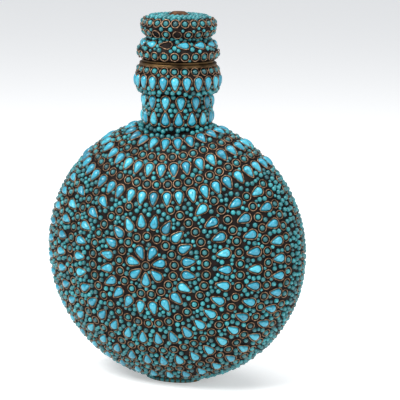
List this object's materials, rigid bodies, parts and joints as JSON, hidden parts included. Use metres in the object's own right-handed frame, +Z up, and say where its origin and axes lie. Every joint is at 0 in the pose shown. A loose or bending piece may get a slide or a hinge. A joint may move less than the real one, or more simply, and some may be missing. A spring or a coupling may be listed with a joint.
{
  "type": "stone-set pilgrim flask with lid",
  "caption": "Flattened round flask with a neck, bulged collar and two-tiered lift-off lid, set all over with turquoise cabochons in dark lac over brass; holds liquid or scent.",
  "frame": {"origin": "middle of the underside of the foot", "axes": "+Z up along the neck, the two round faces towards -Y (front) and +Y (back), the narrow rims towards -X and +X"},
  "size_m": [0.1456, 0.0932, 0.1994],
  "materials": {
    "brass_shell": "aged raised brass sheet, dull",
    "bezel_brass": "thin wire and strip bezels, copper-gold, worn",
    "dark_lac": "dark brown-black lac resin, rough",
    "worn_lac": "bare worn brown lac",
    "turquoise": "polished turquoise cabochons, sky blue to greenish"
  },
  "bodies": {
    "flask": {"front_shell": "brass_shell", "back_shell": "brass_shell", "foot": "brass_shell", "neck_tube": "brass_shell", "collar_band": "brass_shell", "mouth_ring": "brass_shell", "front_lac_coat": "dark_lac", "back_lac_coat": "dark_lac", "neck_lac_coat": "dark_lac", "collar_lac_coat": "dark_lac", "front_rosette_bezels": "bezel_brass", "front_rosette_centre": "turquoise", "front_petal_1": "turquoise", "front_petal_2": "turquoise", "front_petal_3": "turquoise", "front_petal_4": "turquoise", "front_petal_5": "turquoise", "front_petal_6": "turquoise", "front_petal_7": "turquoise", "back_rosette_bezels": "bezel_brass", "back_rosette_centre": "turquoise", "back_petal_1": "turquoise", "back_petal_2": "turquoise", "back_petal_3": "turquoise", "back_petal_4": "turquoise", "back_petal_5": "turquoise", "back_petal_6": "turquoise", "back_petal_7": "turquoise", "front_inner_course": "turquoise", "front_outer_course": "turquoise", "back_inner_course": "turquoise", "back_outer_course": "turquoise", "left_rim_course": "turquoise", "right_rim_course": "turquoise", "neck_upper_course": "turquoise", "neck_lower_course": "turquoise", "collar_course": "turquoise"},
    "lid": {"lid_flange": "brass_shell", "lid_knob": "brass_shell", "lid_plug": "brass_shell", "lid_lac_coat": "dark_lac", "lid_top_boss": "worn_lac", "lid_flange_course": "turquoise", "lid_knob_course": "turquoise"}
  },
  "joints": [
    {"name": "lid_lift", "type": "slide", "parent": "flask", "child": "lid", "axis": [0, 0, 1], "range_m": [0, 0.06]}
  ]
}
